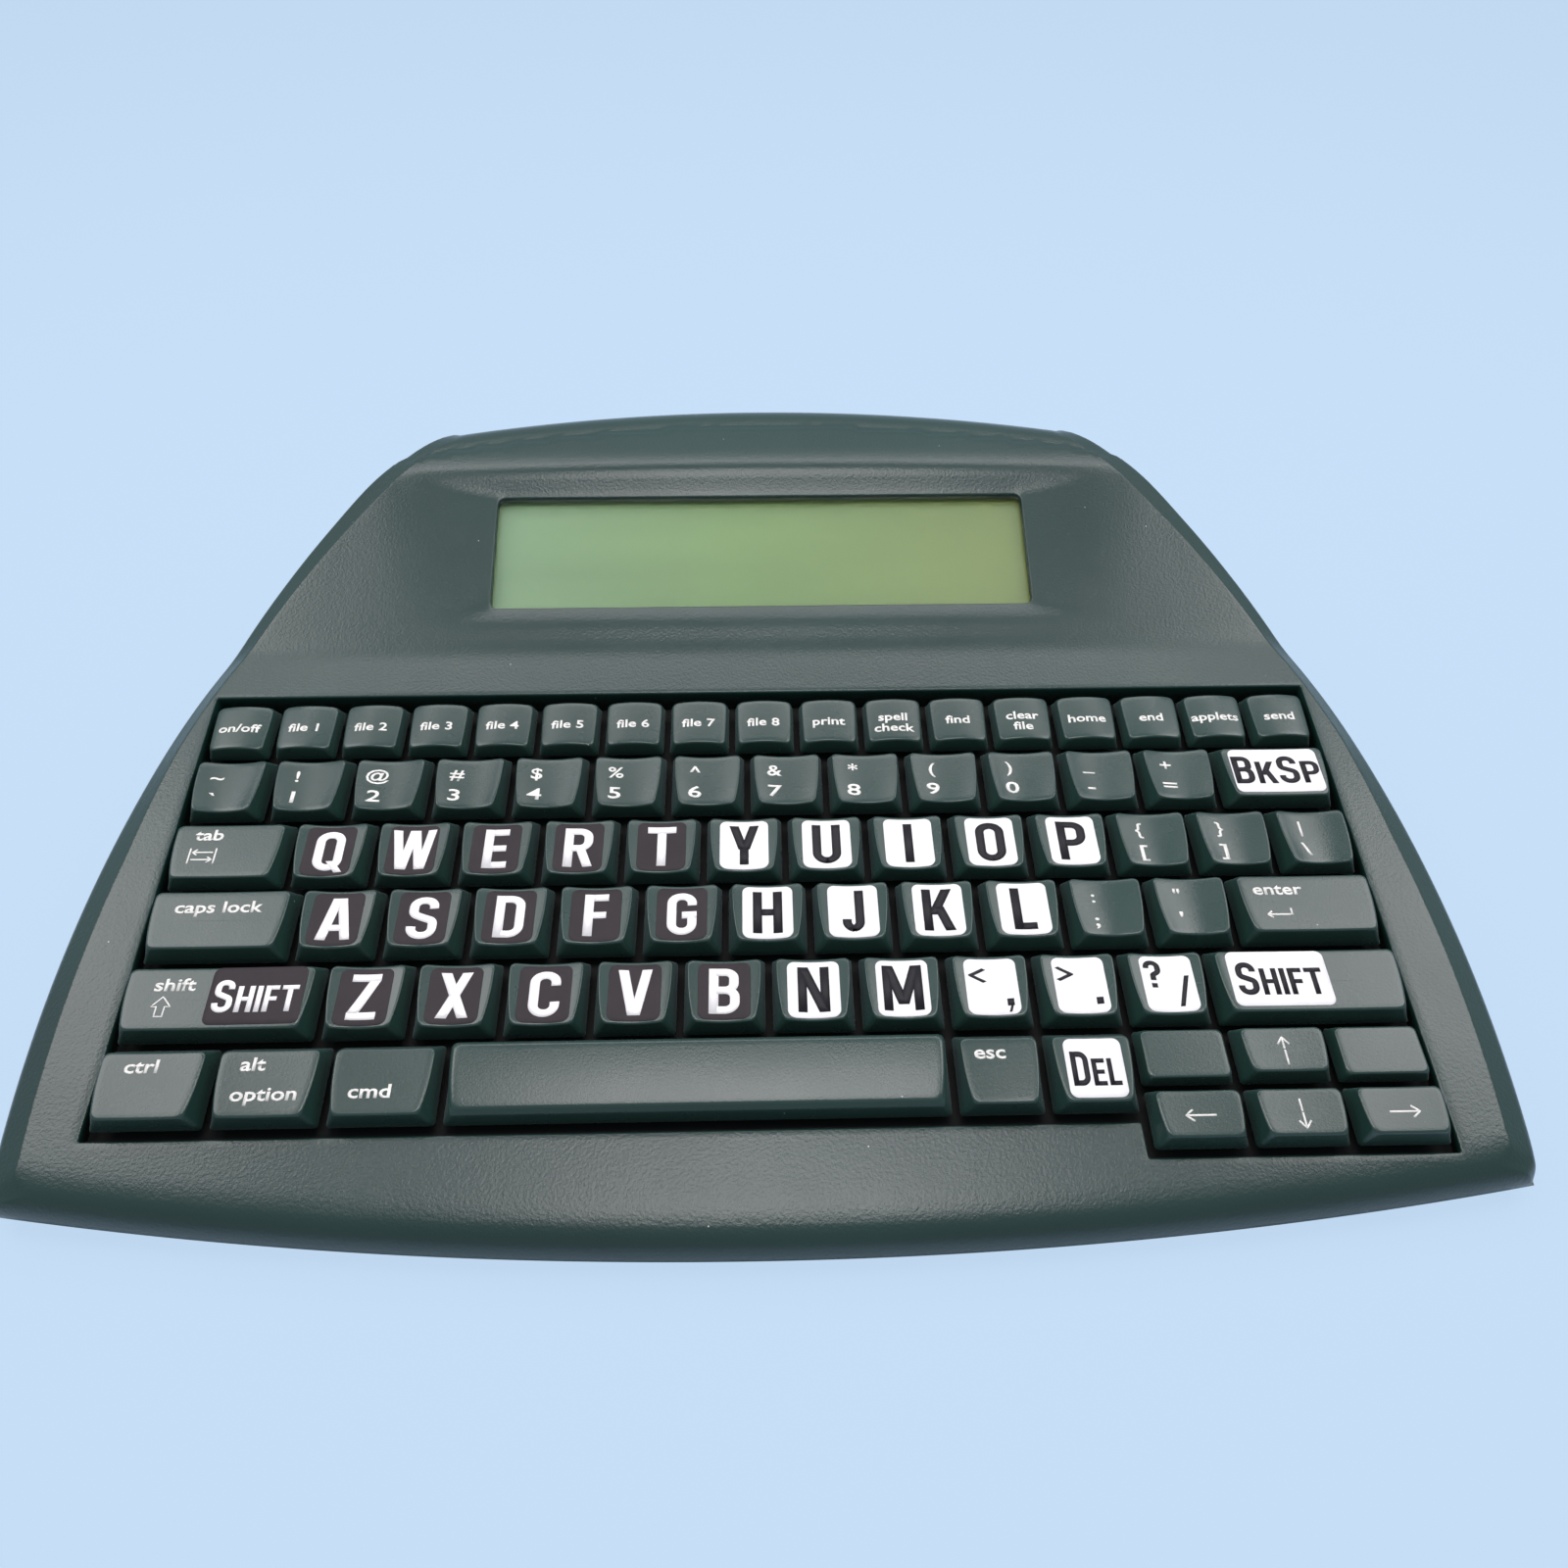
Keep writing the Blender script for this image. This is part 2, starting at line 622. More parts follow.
# %% From points and faces to an object
def shell_object(name, sk, finish, body, weld=True):
    mesh = bpy.data.meshes.new(name)
    mesh.from_pydata([on_deck(*v) for v in sk.verts], [], sk.faces)
    mesh.materials.append(paint[finish])
    bm = bmesh.new()
    bm.from_mesh(mesh)
    if weld:
        bmesh.ops.remove_doubles(bm, verts=bm.verts, dist=2e-6)
    bmesh.ops.recalc_face_normals(bm, faces=bm.faces)
    bm.to_mesh(mesh)
    open_edges = sum(1 for e in bm.edges if len(e.link_faces) != 2)
    bm.free()
    mesh.shade_smooth()
    print(name, "faces", len(mesh.polygons), "open edges", open_edges)
    obj = in_scene(name, mesh)
    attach(obj, body)
    return obj


class Skin:
    def __init__(self):
        self.verts, self.faces = [], []

    def ring(self, points):
        base = len(self.verts)
        self.verts += points
        return list(range(base, base + len(points)))

    def strip(self, a, b):
        n = len(a)
        self.faces += [(a[i], a[(i + 1) % n], b[(i + 1) % n], b[i]) for i in range(n)]

    def fill(self, outer, holes, step, height):
        grid, tris = net([[self.verts[i] for i in loop] for loop in [outer] + holes], step)
        known = [i for loop in [outer] + holes for i in loop]
        for x, y in grid:
            known.append(len(self.verts))
            self.verts.append((x, y, height(x, y)))
        self.faces += [tuple(known[i] for i in tri) for tri in tris]


# %% The upper moulding as one closed shell
EDGE, WALL = 0.5, 2.2
skin = Skin()
outside = [skin.ring(skin_ring(k / RINGS, 0)) for k in range(RINGS + 1)]
inside_rings = [skin.ring(skin_ring(k / RINGS, WALL)) for k in range(RINGS + 1)]
for k in range(RINGS):
    skin.strip(outside[k], outside[k + 1])
    skin.strip(inside_rings[k], inside_rings[k + 1])
skin.strip(outside[0], inside_rings[0])


def opening(outline, place, *below):
    """Loops down an opening: its rounded edge, then each (growth, place) below it."""
    rings = [(EDGE * (1 - sin(a)), lambda x, y, a=a: place(x, y, EDGE * (cos(a) - 1)))
             for a in [pi / 2 * k / 3 for k in range(4)]]
    loops = [skin.ring([at(x, y) for x, y in outline(grow)]) for grow, at in rings + [*below]]
    for a, b in zip(loops, loops[1:]):
        skin.strip(a, b)
    return loops


# The well has a wall with a lower rim and an outer face; the window a short wall
well = opening(well_outline, lambda x, y, z: (x, y, deck_z(x, y) + z),
               (0, lambda x, y: (x, y, -2.5)), (0.5, lambda x, y: (x, y, -2.5)),
               (0.5, lambda x, y: (x, y, deck_z(x, y) - WALL)))
win = opening(window_outline, display_plane, (0, lambda x, y: display_plane(x, y, -WALL)))
skin.fill(outside[-1], [well[0], win[0]], 1.9, deck_z)
skin.fill(inside_rings[-1], [well[-1], win[-1]], 5.0, lambda x, y: deck_z(x, y) - WALL)
upper_skin = shell_object("upper_moulding_skin", skin, "housing_abs", "case")
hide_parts("top_case")

# %% [markdown]
# ## The keyboard
# A full-size keyboard has a 19.05 mm pitch; the rows step sideways by parts of it. Each
# key has a body, a width in pitches, a form, and what is on it.

# %% Key table
U, GAP, ACROSS, SMALL = 19.05, 1.5, 14.46, 1.08
KEYS_LEFT = -ACROSS * U / 2
ARROWS_LEFT = KEYS_LEFT + (ACROSS - 3 * SMALL) * U
FUNCTION_WORDS = [f"file {i}" for i in range(1, 9)] + [
    "print", "spell\ncheck", "find", "clear\nfile", "home", "end", "applets", "send"]


def keys(body, form, kind, marks, width=1):
    return [(body, width, form, (kind, mark)) for mark in marks]


def letters(word):
    return [key for c in word for key in keys("key_" + c, "scoop", "letter", c.upper())]


def wide(kind, width, body="wide_keys"):
    return keys(body, "flat", kind, [""], width)


def arrows(*angles):
    return keys("arrow_keys", "arrow", "arrow", angles, SMALL)


def signs(*pairs):
    return keys("punctuation_keys", "scoop", "sign", pairs)


blank = [("filler_caps", SMALL, "blank", None)]
ROWS = [
    (U, 15.0, KEYS_LEFT, keys("on_off_key", "function", "word", ["on/off"], ACROSS / 17)
     + keys("function_keys", "function", "word", FUNCTION_WORDS, ACROSS / 17)),
    (0, U - GAP, KEYS_LEFT, keys("number_keys", "scoop", "sign", [
        a + "\n" + b for a, b in zip("~!@#$%^&*()_+", "`1234567890-=")]) + wide("bksp", 1.46)),
    (-U, U - GAP, KEYS_LEFT, wide("tab", 1.46) + letters("qwertyuiop")
     + signs("{\n[", "}\n]", "|\n\\")),
    (-2 * U, U - GAP, KEYS_LEFT, wide("caps", 1.73) + letters("asdfghjkl")
     + signs(":\n;", "\"\n'") + wide("enter", 1.73, "enter_key")),
    (-3 * U, U - GAP, KEYS_LEFT, wide("shift_left", 2.23) + letters("zxcvbnm")
     + keys("punctuation_keys", "scoop", "pair", ("<,", ">.", "?/"))
     + wide("shift_right", 2.23)),
    (-4 * U, U - GAP, KEYS_LEFT, wide("ctrl", 1.26) + wide("alt", 1.22) + wide("cmd", 1.23)
     + [("space_bar", 5.5, "space", None)] + wide("esc", 1) + wide("del", 1.01)),
    (-3.7 * U, 12.25, ARROWS_LEFT, blank + arrows(90) + blank),
    (-3.7 * U - 13.55, 12.25, ARROWS_LEFT, arrows(180, -90, 0)),
]
KEYS = []
for front, depth, x, row in ROWS:
    for body, width, form, mark in row:
        KEYS.append(SimpleNamespace(body=body, x=x + GAP / 2, y=front, w=width * U - GAP,
                                    d=depth, form=form, mark=mark))
        KEYS[-1].mid = KEYS[-1].x + KEYS[-1].w / 2
        x += width * U
print("keys:", len(KEYS))

# %% [markdown]
# ## A keycap
# A cap is a thin box with sloped skirts. Letter caps are dished for the finger, wide
# caps almost flat, function caps crowned, and the space bar slopes to the front. Rounded
# rectangles, each smaller and higher than the last, make the skirt, the soft top edge
# and the dish; more rings inside make its hollow.

# %% Sizes of the five forms of keycap
INSETS = {"scoop": (0.45, 2.6, 0.9), "flat": (0.5, 2.8, 0.9), "space": (1.1, 1.9, 1.0),
          "function": (0.4, 1.6, 0.5), "arrow": (0.8, 1.8, 1.0), "blank": (0.5, 1.2, 0.9)}
HEIGHTS = {"function": 5.0, "arrow": 5.0, "blank": 3.4, "space": 5.9}
TAPER = {"scoop": 1.5, "flat": 1.5, "space": 1.4, "function": 0.5, "arrow": 1.0, "blank": 0.0}
LEAN = {0: -0.3, 1: -0.2, 2: 0.6, 3: 0.3}
CAP_WALL = 1.2


def lean(key):
    """The rows are sculpted: each leans a little more or less to the front."""
    return LEAN.get(round(-key.y / U, 2), 0.0)


def insets(key):
    front, back, side = INSETS[key.form]
    return front + lean(key), back - lean(key), side


def taper(key, y):
    """How much the top face narrows on each side, from its back edge to its front."""
    front, back, side = insets(key)
    v = (y - key.y - front) / (key.d - front - back)
    return TAPER[key.form] * (1 - min(max(v, 0), 1)) ** 2.4


def cap_top(key, x, y):
    h = HEIGHTS.get(key.form, 5.5)
    front, back, side = insets(key)
    u = (x - key.x - key.w / 2) / (key.w / 2 - side - taper(key, y))
    v = (y - key.y - front) / (key.d - front - back)
    if key.form == "scoop":
        return h - 1.1 * max(1 - u * u, 0)
    if key.form == "function":
        return h - 0.9 * min(u * u, 1.2) - 0.4 * (1 - min(max(v, 0), 1))
    if key.form in ("flat", "arrow"):
        return h - 0.2 * max(1 - u * u, 0)
    if key.form == "space":
        return h - 0.8 * max(1 - max(v, -0.1), 0) ** 2.2
    return h


# %% Rings of a keycap
def rect_ring(x0, y0, x1, y1, r, n_arc=4, n_x=8, n_y=4):
    arcs = [[(x + r * cos(radians(a + 90 * k / n_arc)), y + r * sin(radians(a + 90 * k / n_arc)))
             for k in range(n_arc + 1)]
            for x, y, a in ((x1 - r, y0 + r, -90), (x1 - r, y1 - r, 0), (x0 + r, y1 - r, 90),
                            (x0 + r, y0 + r, 180))]
    pts = []
    for i, arc in enumerate(arcs):
        (ax, ay), (bx, by) = arc[-1], arcs[(i + 1) % 4][0]
        n = n_x if i % 2 else n_y
        pts += arc + [(ax + (bx - ax) * k / n, ay + (by - ay) * k / n) for k in range(1, n)]
    return pts


def cap_ring(key, share, extra, lift, r):
    """Ring at a share of the skirt's slope; lift(x, y, top) gives its height."""
    front, back, side = insets(key)
    x0, x1 = key.x + side * share + extra, key.x + key.w - side * share - extra
    y0, y1 = key.y + front * share + extra, key.y + key.d - back * share - extra
    n_x = max(8, round(key.w / 4))
    middle, half = key.x + key.w / 2, key.w / 2 - side * share
    ring = [(middle + (x - middle) * (1 - share * taper(key, y) / half), y)
            for x, y in rect_ring(x0, y0, x1, y1, r, 4, n_x, 8)]
    return [(x, y, lift(cap_top(key, x, y))) for x, y in ring]


def add_cap(sk, key):
    edge = 1.1 if key.form == "space" else 0.5
    rings = [cap_ring(key, share, extra, lambda t, z=z: z, r) for share, extra, z, r in
             ((0, 0.25, 0.0, 0.6), (0, 0.06, 0.08, 0.75), (0.02, 0, 0.25, 0.8))]
    for s in (0.3, 0.6, 0.86):
        rings.append(cap_ring(key, s, 0, lambda t, s=s: s * t, 0.8 + 0.5 * s))
    for a in (12, 30, 50, 70, 90):
        c, s = cos(radians(a)), sin(radians(a))
        rings.append(cap_ring(key, 0.92 + 0.08 * s, edge * (1 - c) * 0.9,
                              lambda t, s=s: t - edge * (1 - s) * 0.8, 1.35))
    front, back, side = insets(key)
    short = min(key.w - 2 * side, key.d - front - back) / 2
    for share in (0.15, 0.35, 0.55, 0.75, 0.95):
        extra = edge * 0.9 + (short - edge * 0.9) * share
        rings.append(cap_ring(key, 1, extra, lambda t: t, max(1.35 * (1 - share), 0.05)))
    loops = [sk.ring(r) for r in rings]
    for a, b in zip(loops, loops[1:]):
        sk.strip(a, b)
    sk.faces.append(tuple(loops[-1]))
    # Hollow underside
    ceiling = {"scoop": 3.7, "function": 3.65, "blank": 2.4, "arrow": 3.9,
               "space": 4.7}.get(key.form, 4.1)
    last = loops[0]
    for share, z in ((0.0, 0.0), (0.15, 2.4), (0.92, ceiling)):
        ring = sk.ring(cap_ring(key, share, CAP_WALL, lambda t, z=z: z, 0.4))
        sk.strip(ring, last)
        last = ring
    sk.faces.append(tuple(reversed(last)))
    # Plunger under the middle of the cap
    if key.form != "blank":
        round16 = [(key.mid + 2 * cos(a), key.y + key.d / 2 + 2 * sin(a))
                   for a in [tau * k / 16 for k in range(16)]]
        low, high = [sk.ring([(x, y, z) for x, y in round16]) for z in (-4.3, ceiling + 0.3)]
        sk.strip(low, high)
        sk.faces += [tuple(reversed(low)), tuple(high)]


for body in sorted({k.body for k in KEYS}):
    sk = Skin()
    for key in [k for k in KEYS if k.body == body]:
        add_cap(sk, key)
    host = "case" if body == "filler_caps" else body
    caps = shell_object(body + "_caps", sk, "keycap_abs", host)
    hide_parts(body)

# %% [markdown]
# ## Strokes
# The owner added large-letter stickers. Their condensed letters are built from strokes,
# as a sign writer would: straight bars with level ends, and ribbons with rounded corners.
# Each stroke becomes a thin closed strip that follows the dish of its keycap. Coordinates
# are in stem widths; a letter is T high.

# %% Letter strokes
T, PIECE = 6.18, 0.8


def bar(x0, y0, x1, y1, w=1.06):
    """A slanted bar with level ends, as pairs of edge points from one end to the other."""
    n = max(2, round(hypot(x1 - x0, y1 - y0) / PIECE))
    at = [(x0 + (x1 - x0) * i / n, y0 + (y1 - y0) * i / n) for i in range(n + 1)]
    return [((x - w / 2, y), (x + w / 2, y)) for x, y in at], False


def block(x0, y0, x1, y1):
    n = max(1, round((x1 - x0) / PIECE))
    return [((x0 + (x1 - x0) * i / n, y0), (x0 + (x1 - x0) * i / n, y1))
            for i in range(n + 1)], False


def ribbon(radius, *points, closed=False, w=1.0):
    """A stroke of even width along points (x, y), or (x, y, own corner radius)."""
    path = []
    n = len(points)
    for i, (x, y, *own) in enumerate(points):
        r = own[0] if own else radius
        if r == 0 or (not closed and i in (0, n - 1)):
            path.append(Vector((x, y)))
        else:
            path += map(Vector, corner_arc(points[i - 1], (x, y), points[(i + 1) % n], r, 6))
    fine = []
    for p, q in zip(path, path[1:] + path[:1] * closed):
        steps = max(1, round((q - p).length / PIECE))
        fine += [p.lerp(q, k / steps) for k in range(steps)]
    if not closed:
        fine.append(path[-1])
    pairs = []
    for i, p in enumerate(fine):
        before = fine[i - 1] if (i or closed) else p
        after = fine[(i + 1) % len(fine)] if (i < len(fine) - 1 or closed) else p
        t = ((p - before).normalized() + (after - p).normalized()).normalized()
        side = Vector((-t.y, t.x)) * w / 2
        pairs.append((tuple(p + side), tuple(p - side)))
    return pairs, closed


STEM = block(0, 0, 1, T)
ROUND = ribbon(1.1, (.5, .5), (2.75, .5), (2.75, 5.68), (.5, 5.68), closed=True)


LETTERS = {
    "A": (3.7, [bar(.53, 0, 1.62, T), bar(3.17, 0, 2.08, T), block(1, 1.35, 2.7, 2.25)]),
    "B": (3.2, [STEM, ribbon(.9, (.5, 5.68), (2.6, 5.68), (2.6, 3.2), (.5, 3.2)),
         ribbon(1, (.5, 3.2), (2.7, 3.2), (2.7, .5), (.5, .5))]),
    "C": (3.2, [ribbon(1.05, (2.7, 4.2), (2.7, 5.68), (.5, 5.68), (.5, .5), (2.7, .5),
         (2.7, 2))]),
    "D": (3.2, [ribbon(1.1, (.5, .5, .02), (2.7, .5), (2.7, 5.68), (.5, 5.68, .02), closed=True),
         STEM]),
    "E": (2.7, [STEM, block(1, 0, 2.7, 1), block(1, 2.65, 2.5, 3.6), block(1, T - 1, 2.7, T)]),
    "F": (2.6, [STEM, block(1, T - 1, 2.6, T), block(1, 2.6, 2.4, 3.55)]),
    "G": (3.2, [ribbon(1.05, (2.7, 4.3), (2.7, 5.68), (.5, 5.68), (.5, .5), (2.7, .5),
         (2.7, 2.9)), block(1.6, 2.4, 3.2, 3.4)]),
    "H": (3.2, [STEM, block(2.2, 0, 3.2, T), block(1, 2.65, 2.2, 3.6)]),
    "I": (1.0, [STEM]),
    "J": (2.4, [ribbon(.95, (1.9, T), (1.9, .5), (.5, .5), (.5, 1.9))]),
    "K": (3.4, [STEM, bar(2.75, T, 1.1, 2.4, 1.15), bar(1.75, 3.6, 2.85, 0, 1.1)]),
    "L": (2.5, [STEM, block(1, 0, 2.5, 1)]),
    "M": (4.15, [block(0, 0, .95, T), block(3.2, 0, 4.15, T), bar(.6, T, 2.08, .9, 1.1),
         bar(3.55, T, 2.08, .9, 1.1)]),
    "N": (3.3, [block(0, 0, .95, T), block(2.35, 0, 3.3, T), bar(.55, T, 2.75, 0, 1.1)]),
    "O": (3.25, [ROUND]),
    "P": (3.2, [STEM, ribbon(1.05, (.5, 5.68), (2.7, 5.68), (2.7, 2.75), (.5, 2.75))]),
    "Q": (3.25, [ROUND, bar(1.9, 1.5, 3.1, -.35, .9)]),
    "R": (3.3, [STEM, ribbon(1.05, (.5, 5.68), (2.7, 5.68), (2.7, 3), (.5, 3)),
         bar(1.8, 3, 2.75, 0)]),
    "S": (3.2, [ribbon(1, (2.65, 4.4), (2.65, 5.68), (.5, 5.68), (.5, 3.6, .75), (2.7, 2.6, .75),
         (2.7, .5), (.45, .5), (.45, 1.8))]),
    "T": (3.2, [block(0, T - 1, 3.2, T), block(1.1, 0, 2.1, T - 1)]),
    "U": (3.2, [ribbon(1.1, (.5, T), (.5, .5), (2.7, .5), (2.7, T))]),
    "V": (3.5, [bar(.5, T, 1.63, 0), bar(3, T, 1.87, 0)]),
    "W": (4.9, [bar(.5, T, 1.33, 0, .98), bar(1.5, 0, 2.35, T, .98), bar(2.55, T, 3.4, 0, .98),
         bar(3.57, 0, 4.4, T, .98)]),
    "X": (3.3, [bar(.53, 0, 2.77, T, 1.12), bar(.53, T, 2.77, 0, 1.12)]),
    "Y": (3.3, [bar(.5, T, 1.55, 2.4), bar(2.8, T, 1.75, 2.4), block(1.15, 0, 2.15, 2.6)]),
    "Z": (3.0, [block(0, T - 1, 3, T), block(0, 0, 3, 1), bar(2.4, T - .9, .6, .9, 1.15)]),
    "<": (2.6, [ribbon(.02, (2.4, 1), (.4, 3.1), (2.4, 5.2), w=.75)]),
    ">": (2.6, [ribbon(.02, (.2, 1), (2.2, 3.1), (.2, 5.2), w=.75)]),
    ",": (1.0, [block(0, 0, 1, 1), bar(.65, 0, .3, -.9, .4)]),
    ".": (1.0, [block(0, 0, 1, 1)]),
    "?": (3.0, [ribbon(.95, (.5, 4.4), (.5, 5.68), (2.5, 5.68), (2.5, 3.6, .9), (1.5, 2.9, .3),
         (1.5, 1.7)), block(1, 0, 2, 1)]),
    "/": (2.3, [bar(.3, 0, 2, T, .8)]),
}
print("letters drawn:", len(LETTERS))

# %% Laying flat shapes on a keycap
INK, STICKER_TOP, SPACING = 0.03, 0.1, 0.55


def lay_strip(sk, key, pairs, closed, low, high):
    """Closes a strip of edge pairs into a thin solid that follows the cap's top face."""
    rows = []
    for a, b in pairs:
        rows.append([len(sk.verts) + i for i in range(4)])
        for (x, y), z in ((a, high), (b, high), (b, low), (a, low)):
            sk.verts.append((x, y, cap_top(key, x, y) + z))
    for i in range(len(rows) - (0 if closed else 1)):
        r, s = rows[i], rows[(i + 1) % len(rows)]
        sk.faces += [(r[k], r[(k + 1) % 4], s[(k + 1) % 4], s[k]) for k in range(4)]
    if not closed:
        sk.faces += [tuple(reversed(rows[0])), tuple(rows[-1])]


def lay_word(sk, key, word, x, y, sizes):
    """Letters side by side from x, standing on y; sizes are (height, stem) per letter."""
    for letter, (tall, stem) in zip(word, sizes):
        width, strokes = LETTERS[letter]
        for i, (pairs, closed) in enumerate(strokes):
            placed = [tuple((x + px * stem, y + py * tall / T) for px, py in pair)
                      for pair in pairs]
            lay_strip(sk, key, placed, closed, STICKER_TOP - 0.02, STICKER_TOP + INK + 0.004 * i)
        x += (width + SPACING) * stem


# %% Sticker sheets
def sticker(sk, key, x, y, w, d):
    """A thin rounded sheet with its middle at x, y; it follows the top face."""
    def ring(grow, z):
        x0, x1 = x - w / 2 + grow, x + w / 2 - grow
        y0, y1 = y - d / 2 + grow, y + d / 2 - grow
        return sk.ring([(px, py, cap_top(key, px, py) + z) for px, py in
                        rect_ring(x0, y0, x1, y1, max(1.6 - grow, 0.1), 5, 12)])
    inward = [g * min(w, d) / 2 for g in (0.2, 0.4, 0.6, 0.8, 0.97)]
    loops = [ring(g, -0.06) for g in reversed(inward)] + [ring(0, -0.06), ring(0, 0.07)]
    loops += [ring(0.04, STICKER_TOP)] + [ring(g, STICKER_TOP) for g in inward]
    for a, b in zip(loops, loops[1:]):
        sk.strip(a, b)
    sk.faces += [tuple(loops[-1]), tuple(reversed(loops[0]))]


WHITE_ON_BLACK = "QWERTASDFGZXCVB"
# (height, stem) of capitals and small capitals; the sheet's left edge, middle, size, colour
WORDS = {"shift_left": ("Shift", (7.6, 1.3), (6.1, 1.1), 18.7815, 8.1, 20.0, 13.4, False),
         "shift_right": ("Shift", (7.8, 1.36), (6.3, 1.15), 2.9, 8.1, 21.4, 13.0, True),
         "bksp": ("BkSp", (8.2, 1.5), (6.6, 1.35), 2.3, 7.9, 21.5, 12.9, True),
         "del": ("Del", (7.5, 1.12), (5.9, .98), 2.92025, 7.7, 11.9, 12.9, True)}
# Place from the sheet's middle, height and stem of the signs that come in pairs
SIGNS = {**dict.fromkeys("<>", (-4.9, 0.4, 4.6, 1.5)), "?": (-4.9, -0.9, 6.5, 1.25),
         **dict.fromkeys(",.", (2.9, -4.6, 10.2, 1.45)), "/": (1.6, -5.4, 7.2, 1.25)}
sheets = {}


def add_sticker(key):
    kind, value = key.mark
    w, d, middle, left = 11.2, 13.3, 7.65, (key.w - 11.2) / 2
    if kind in WORDS:
        word, big, small, left, middle, w, d, white = WORDS[kind]
    elif kind in ("letter", "pair"):
        white = kind == "pair" or value not in WHITE_ON_BLACK
    else:
        return
    cx, cy = key.x + left + w / 2, key.y + middle + lean(key)
    sheet, ink = sheets.setdefault((key.body, white), (Skin(), Skin()))
    sticker(sheet, key, cx, cy, w, d)
    if kind == "letter":
        lay_word(ink, key, value, cx - LETTERS[value][0] * 2.05 / 2, cy - 5.3, [(10.7, 2.05)])
    elif kind == "pair":
        for sign in value:
            x, y, tall, stem = SIGNS[sign]
            lay_word(ink, key, sign, cx + x, cy + y, [(tall, stem)])
    else:
        sizes = [big if c.isupper() else small for c in word]
        word = word.upper()
        wide = sum((LETTERS[c][0] + SPACING) * stem for c, (_, stem) in zip(word, sizes))
        lay_word(ink, key, word, cx - (wide - SPACING * sizes[-1][1]) / 2, cy - 3.9, sizes)


for key in KEYS:
    if key.mark:
        add_sticker(key)
for (host, white), (sheet, ink) in sheets.items():
    shade, vinyl, printed = ("white", "vinyl_white", "vinyl_ink_black") if white else (
        "black", "vinyl_brown_black", "vinyl_ink_white")
    shell_object(f"{host}_sticker_{shade}", sheet, vinyl, host)
    shell_object(f"{host}_letter_{shade}", ink, printed, host, False)

# %% [markdown]
# ## Printed legends
# Small white words and signs are printed on the caps. A text curve gives each its
# outline; it is thickened, cut into strips about 1 mm wide so that it can bend, and laid
# on the cap's top face.

# %% Legends
legend_skins = {}


def plain_mesh(obj):
    """What an object's curve or modifier makes, as a mesh of its own."""
    return bpy.data.meshes.new_from_object(
        obj.evaluated_get(bpy.context.evaluated_depsgraph_get()))


def add_legend(key, text, x, y, size, stretch=1.25, weight=0.02):
    curve = bpy.data.curves.new("legend", "FONT")
    feed(curve, body=text, align_x="CENTER", offset=weight, extrude=0.01, resolution_u=3)
    obj = in_scene("legend", curve)
    mesh = plain_mesh(obj)
    bm = bmesh.new()
    bm.from_mesh(mesh)
    bpy.data.objects.remove(obj)
    bpy.data.curves.remove(curve)
    bpy.data.meshes.remove(mesh)
    bmesh.ops.remove_doubles(bm, verts=bm.verts, dist=1e-4)
    for v in bm.verts:
        v.co.x *= size * stretch
        v.co.y *= size
    for axis, step in ((0, 1.0), (1, 0.5)):
        if axis and key.form != "function":
            continue
        ends = [v.co[axis] for v in bm.verts]
        across = Vector((1 - axis, axis, 0))
        for cut in range(ceil(min(ends) / step), ceil(max(ends) / step)):
            bmesh.ops.bisect_plane(bm, geom=bm.verts[:] + bm.edges[:] + bm.faces[:],
                                   plane_co=across * (cut * step + 0.013), plane_no=across)
    sk = legend_skins.setdefault(key.body, Skin())
    base = len(sk.verts)
    bm.verts.index_update()
    for v in bm.verts:
        px, py = x + v.co.x, y + v.co.y
        sk.verts.append((px, py, cap_top(key, px, py) + (INK if v.co.z > 0 else -INK)))
    sk.faces += [tuple(base + v.index for v in f.verts) for f in bm.faces]
    bm.free()


def add_line(key, points, w, closed=False):
    sk = legend_skins.setdefault(key.body, Skin())
    lay_strip(sk, key, *ribbon(0, *points, closed=closed, w=w), -INK, INK)


def add_arrow(key, x, y, angle, length, head, w):
    c, s = cos(radians(angle)), sin(radians(angle))
    def at(a, b):
        return x + a * c - b * s, y + a * s + b * c
    add_line(key, [at(-length / 2, 0), at(length / 2 - 0.2, 0)], w)
    add_line(key, [at(length / 2 - head, head * 0.75), at(length / 2, 0),
                   at(length / 2 - head, -head * 0.75)], w)


